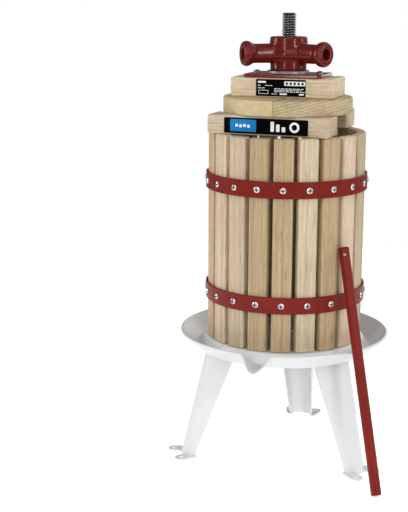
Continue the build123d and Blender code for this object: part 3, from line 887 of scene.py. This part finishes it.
def finish_white():
    white = powder_coat("powder_white", *WHITE_COATS)
    paint(["leg_front_right", "leg_back", "leg_front_left"], white)
    tray = piece("tray_dish", tray_mesh(), "base", white, smooth_angle=70.0)
    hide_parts("tray")


def finish_red():
    look = dict(grain=0.0034, grain_depth=0.00002, roughness=0.36, coat=0.40)
    cast_red = enamel("cast_enamel_red", *CAST_REDS, **look)
    head = piece("head_casting", head_mesh(), "press_head", cast_red, smooth_angle=60.0)
    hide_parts("press_head")
    look = dict(grain=0.006, grain_depth=0.00003, roughness=0.34, coat=0.5)
    paint(["pressure_plate"], enamel("plate_enamel_red", *PLATE_REDS, **look))
    look = dict(grain=0.008, grain_depth=0.0001, roughness=0.36, coat=0.10)
    paint(["upper_band", "lower_band", "lever_bar"], enamel("sheet_enamel_red", *SHEET_REDS, **look))


def finish_steel():
    zinc = metal("zinc_plating", *ZINC_GREYS, roughness=0.26, mark_cells=900.0)
    paint(["upper_band_screws", "lower_band_screws", "leg_bolts", "leg_nuts"], zinc)
    paint(["spindle_nuts", "spindle_washers"], zinc)
    # painted shade: a near-black film laid low in each screw's cross recess, where no light gets in
    dark = print_film("recess_shadow", *RECESS_PAINTED_SHADE, roughness=0.6)
    for screws in ("upper_band_screws", "lower_band_screws"):
        painted_recess_shade = painted_recess_shade_mesh(screws)
        piece(f"{screws}_recesses", painted_recess_shade, "basket", dark, smooth_angle=30.0)
    plain_steel = metal("plain_steel", *STEEL_GREYS, roughness=0.42, mark_cells=800.0)
    paint(["thrust_washer", "plate_screws"], plain_steel)
    thread = threaded_metal("thread_steel", *THREAD_SHADE_AND_HIGHLIGHT, roughness=0.23)
    spindle = piece("spindle_thread", spindle_mesh(), "base", thread, smooth_angle=25.0)
    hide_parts("spindle")


# ---------------------------------------------------------------- labels' marks
FILM_BLACKS = ((0.001, 0.001, 0.0012), (0.0025, 0.0025, 0.003))
INK_BLUES = ((0.012, 0.19, 0.52), (0.016, 0.23, 0.58))
INK_WHITES = ((0.90, 0.90, 0.90), (0.93, 0.93, 0.92))
# generic marks stand where printed words would be; lengths are in millimetres on the label
FRONT_PANEL = (33.0, 14.5, 0.8, -28.3, 0.2)
FRONT_BARS = ((4.4, 12.0, 0.8, 8.5, 0.2), (4.4, 9.0, 0.8, 15.5, -1.3), (4.4, 6.0, 0.8, 22.5, -2.8))
FRONT_RING = (6.2, 3.5, 36.0, 0.2)                  # outer and inner radius, x and y
PANEL_SQUARES = [(3.4, 3.4, 0.6, -36.4 + 5.0 * k, 0.2 - 0.6 * (k % 2)) for k in range(4)]
TOP_BARS = ((10.0, 2.2, 0.4, -23.5, 6.8), (26.0, 5.2, 0.5, 17.5, 5.4))
TOP_FRAME = (12.5, 4.6, 0.5, -21.5, -5.2)
TOP_FRAME_HOLE = (11.5, 3.6, 0.3)
TOP_FOOT_BARS = ((9.0, 1.8, 0.3, 3.5, -7.4), (6.0, 1.8, 0.3, 26.0, -7.4))
TOP_SQUARES = [(2.4, 3.0, 0.4, 7.7 + 4.9 * k, 5.4) for k in range(5)]
# length of each broken line, and its middle's x and y
TOP_LINES = (
    (4.5, -26.2, 2.6),
    (9.0, -15.0, 2.6),
    (9.0, -24.0, -0.4),
    (38.0, 11.0, -1.0),
    (36.0, 10.0, -2.8),
    (38.0, 11.0, -4.6),
    (7.0, -8.0, -7.4),
)
SHORTEST_DASH = 1.0
DASH_LENGTHS = (1.8, 5.0)
DASH_GAP = 0.9
DASH_H = 0.8
DASH_CORNER = 0.2


def bar(width, height, corner, x, y):
    return rounded_outline(width, height, corner), (x, y)


def dashed_line(length, x, y, rng):
    """Bars of uneven length in a row."""
    dashes = []
    reached, end = x - length / 2, x + length / 2
    while end - reached > SHORTEST_DASH:
        dash = min(rng.uniform(*DASH_LENGTHS), end - reached)
        dashes.append(bar(dash, DASH_H, DASH_CORNER, reached + dash / 2, y))
        reached += dash + DASH_GAP
    return dashes


def finish_labels():
    black_film = print_film("film_black", *FILM_BLACKS, roughness=0.5)
    blue_ink = print_film("ink_blue", *INK_BLUES)
    white_ink = print_film("ink_white", *INK_WHITES)
    paint(["front_label", "top_label"], black_film)

    add_print("front_label_panel", "front_label", "front_block", [bar(*FRONT_PANEL)], blue_ink)
    ring_r, ring_hole_r, x, y = FRONT_RING
    marks = [bar(*each) for each in FRONT_BARS]
    marks.append((ring_outline(ring_r), (x, y), ring_outline(ring_hole_r)))
    marks += [bar(*each) for each in PANEL_SQUARES]
    add_print("front_label_marks", "front_label", "front_block", marks, white_ink, PRINT_T * 2)

    marks = [bar(*each) for each in TOP_BARS]
    marks.append((*bar(*TOP_FRAME), rounded_outline(*TOP_FRAME_HOLE)))
    marks += [bar(*each) for each in TOP_FOOT_BARS]
    rng = random.Random(41)
    for length, x, y in TOP_LINES:
        marks += dashed_line(length, x, y, rng)
    add_print("top_label_marks", "top_label", "pressure_block", marks, white_ink)
    squares = [bar(*each) for each in TOP_SQUARES]
    add_print("top_label_squares", "top_label", "pressure_block", squares, black_film, PRINT_T * 2)


# ---------------------------------------------------------------- build the scene
bpy.context.scene.view_settings.view_transform = "Standard"
make_camera()
make_floor()
make_world()
make_lights()
finish_wood()
finish_white()
finish_red()
finish_steel()
finish_labels()

bpy.context.view_layer.update()
